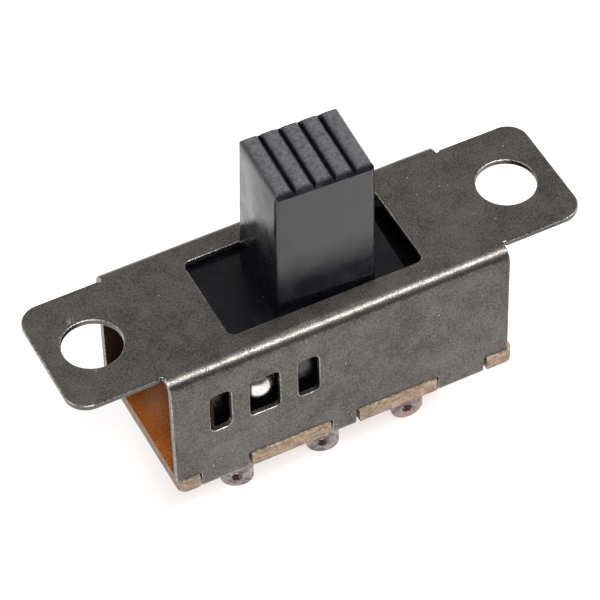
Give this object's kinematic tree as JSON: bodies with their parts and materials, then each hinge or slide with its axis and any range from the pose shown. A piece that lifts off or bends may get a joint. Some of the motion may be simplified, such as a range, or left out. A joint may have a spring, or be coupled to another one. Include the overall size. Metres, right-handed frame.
{
  "type": "slide switch",
  "caption": "Panel-mount slide switch: folded steel frame with two fixing ears, ribbed black slider, ball detent in side windows, and solder lugs under a phenolic board.",
  "frame": {"origin": "centre of the plate's top face, midway between the two fixing holes and in the middle of the slot", "axes": "+X along the slider's travel, with the detent windows on the -X side; +Z out of the panel, along the knob; -Y towards the wall seen in the picture"},
  "size_m": [0.035, 0.011, 0.0257],
  "materials": {
    "frame_steel": "dark plated sheet steel, satin, with bright sheared edges",
    "slider_plastic": "black moulded plastic, satin front and glossy sides",
    "phenolic": "brown paper-phenolic laminate with a pale fibrous cut edge",
    "tinned_brass": "tinned, slightly tarnished",
    "contact_bronze": "bare spring bronze",
    "spring_steel": "drawn wire",
    "ball_steel": "polished"
  },
  "bodies": {
    "body": {"frame": "frame_steel", "terminal_board": "phenolic", "terminal_front_1": "tinned_brass", "terminal_front_2": "tinned_brass", "terminal_front_3": "tinned_brass", "terminal_rear_1": "tinned_brass", "terminal_rear_2": "tinned_brass", "terminal_rear_3": "tinned_brass"},
    "carriage": {"slider": "slider_plastic", "contact_clip_front": "contact_bronze", "contact_clip_rear": "contact_bronze", "detent_spring": "spring_steel"},
    "front_ball": {"detent_ball_front": "ball_steel"},
    "rear_ball": {"detent_ball_rear": "ball_steel"}
  },
  "joints": [
    {"name": "slider_slide", "type": "slide", "parent": "body", "child": "carriage", "axis": [1, 0, 0], "range_m": [-0.003, 0.0029]},
    {"name": "front_ball_slide", "type": "slide", "parent": "carriage", "child": "front_ball", "axis": [0, -1, 0], "range_m": [0, 0.00022], "stiffness_N_per_m": 6, "springref_m": 0.0002, "deforming": ["detent_spring"]},
    {"name": "rear_ball_slide", "type": "slide", "parent": "carriage", "child": "rear_ball", "axis": [0, 1, 0], "range_m": [0, 0.00022], "stiffness_N_per_m": 6, "springref_m": 0.0002}
  ]
}
